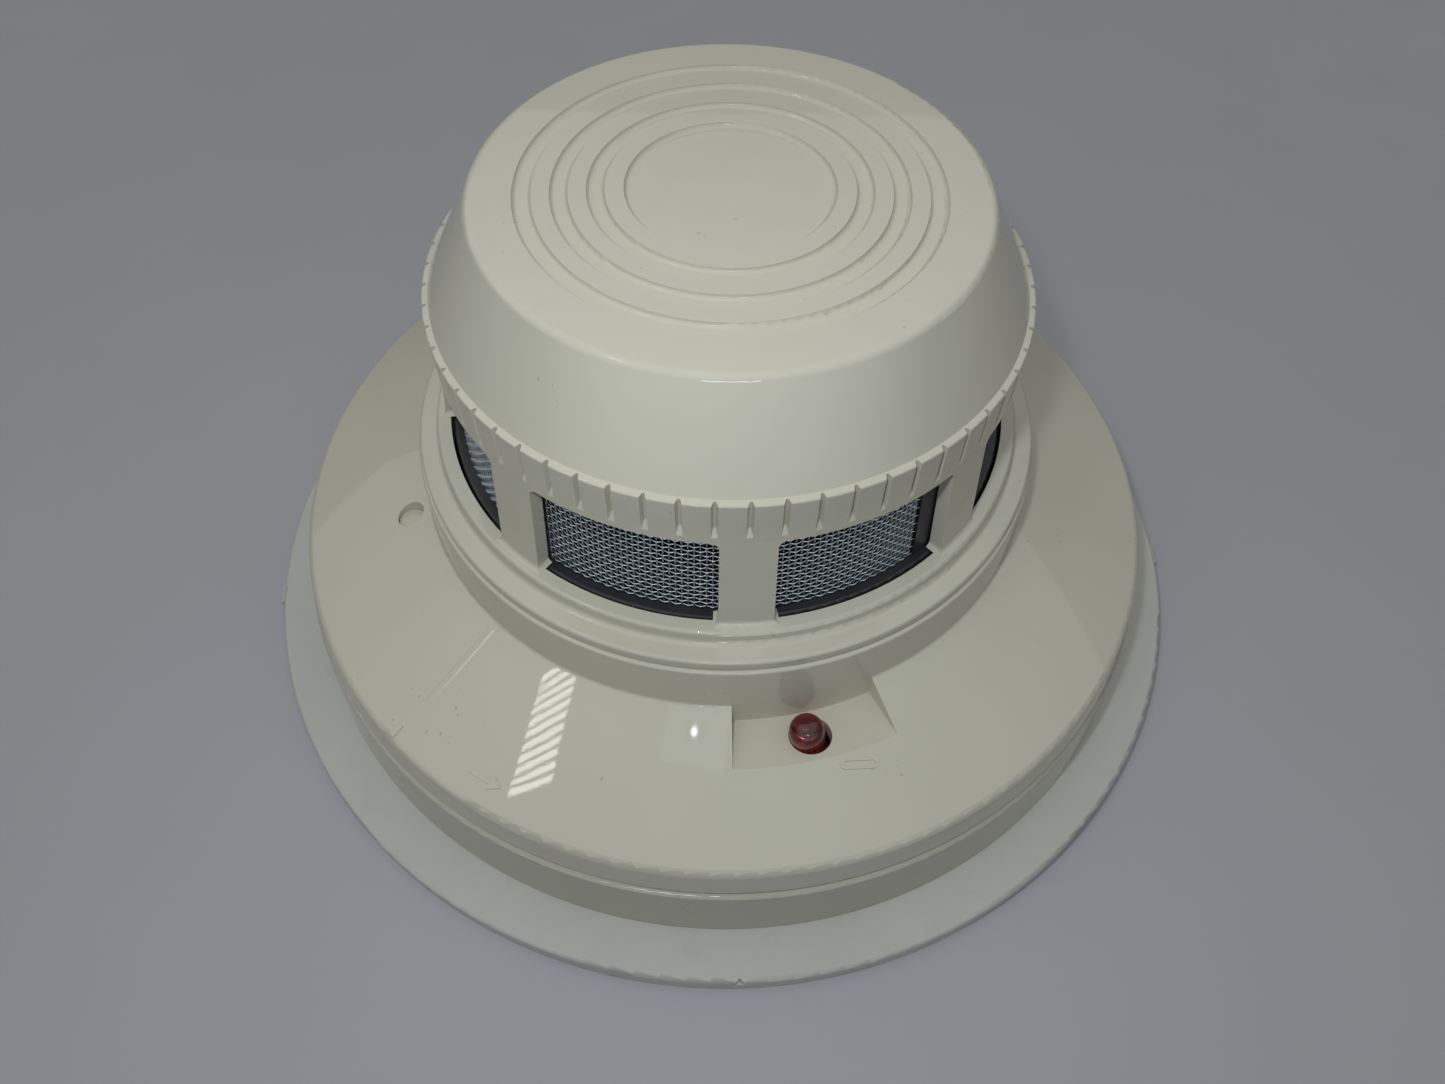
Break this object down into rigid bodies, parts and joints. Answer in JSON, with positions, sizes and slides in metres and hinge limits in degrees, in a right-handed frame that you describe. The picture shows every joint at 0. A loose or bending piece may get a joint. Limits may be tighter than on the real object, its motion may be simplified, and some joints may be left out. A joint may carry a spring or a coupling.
{
  "type": "smoke detector",
  "caption": "Round ceiling smoke detector: twist-lock base with trim ring, conical head with red alarm lamp and test plunger, lift-off ribbed cover with screened smoke windows.",
  "frame": {"origin": "centre of the flat back face that lies against the ceiling box", "axes": "+Z away from the ceiling through the crown of the cover, -Y the front with the alarm lamp, +X to the right seen from the front"},
  "size_m": [0.158, 0.1574, 0.0779],
  "materials": {
    "housing_ivory": "glossy moulded ivory plastic",
    "base_ivory": "glossy moulded ivory plastic",
    "trim_white": "fine-textured off-white plastic",
    "frame_black": "smooth black plastic",
    "screen_metal": "fine woven metal wire",
    "lamp_red": "clear red epoxy",
    "plunger_ivory": "smooth ivory plastic",
    "rear_cover_ivory": "satin moulded plastic",
    "chamber_black": "matt black light-absorbing plastic",
    "board_green": "solder-masked circuit board",
    "contact_bronze": "rolled phosphor bronze",
    "clamp_steel": "zinc-plated steel",
    "screw_steel": "zinc-plated steel",
    "shield_tin": "bright tinplate",
    "emitter_blue": "tinted clear epoxy",
    "receiver_black": "dark filter epoxy",
    "part_black": "black moulded package",
    "can_sleeve": "shrink-sleeved can",
    "disc_blue": "dipped epoxy",
    "spacer_white": "natural nylon"
  },
  "bodies": {
    "base": {"trim_ring": "trim_white", "mounting_base": "base_ivory", "terminal_screws": "screw_steel", "base_contact_1": "contact_bronze", "base_contact_2": "contact_bronze", "base_contact_3": "contact_bronze", "base_contact_4": "contact_bronze", "wire_clamp_1": "clamp_steel", "wire_clamp_2": "clamp_steel", "wire_clamp_3": "clamp_steel", "wire_clamp_4": "clamp_steel"},
    "head": {"lower_housing": "housing_ivory", "screen_frame": "frame_black", "insect_screen": "screen_metal", "chamber_base": "chamber_black", "chamber_labyrinth": "chamber_black", "infrared_emitter": "emitter_blue", "photodiode": "receiver_black", "photodiode_shield": "shield_tin", "rear_cover": "rear_cover_ivory", "circuit_board": "board_green", "alarm_lamp": "lamp_red", "lamp_spacer": "spacer_white", "test_switch": "part_black", "controller_chip": "part_black", "capacitors": "can_sleeve", "surge_suppressor": "disc_blue", "small_chips": "part_black", "housing_screws": "screw_steel", "chamber_screws": "screw_steel", "blade_contact_1": "contact_bronze", "blade_contact_2": "contact_bronze", "blade_contact_3": "contact_bronze", "blade_contact_4": "contact_bronze"},
    "cover": {"detector_cover": "housing_ivory"},
    "test_plunger": {"test_plunger": "plunger_ivory"}
  },
  "joints": [
    {"name": "head_twist", "type": "hinge", "parent": "base", "child": "head", "pos_m": [0, 0, 0.0098], "axis": [0, 0, 1], "range_deg": [0, 17]},
    {"name": "cover_lift", "type": "slide", "parent": "head", "child": "cover", "axis": [0, 0, 1], "range_m": [0, 0.045]},
    {"name": "plunger_press", "type": "slide", "parent": "head", "child": "test_plunger", "axis": [0, 0, -1], "range_m": [0, 0.0008], "stiffness_N_per_m": 400, "springref_m": -0.0005}
  ]
}
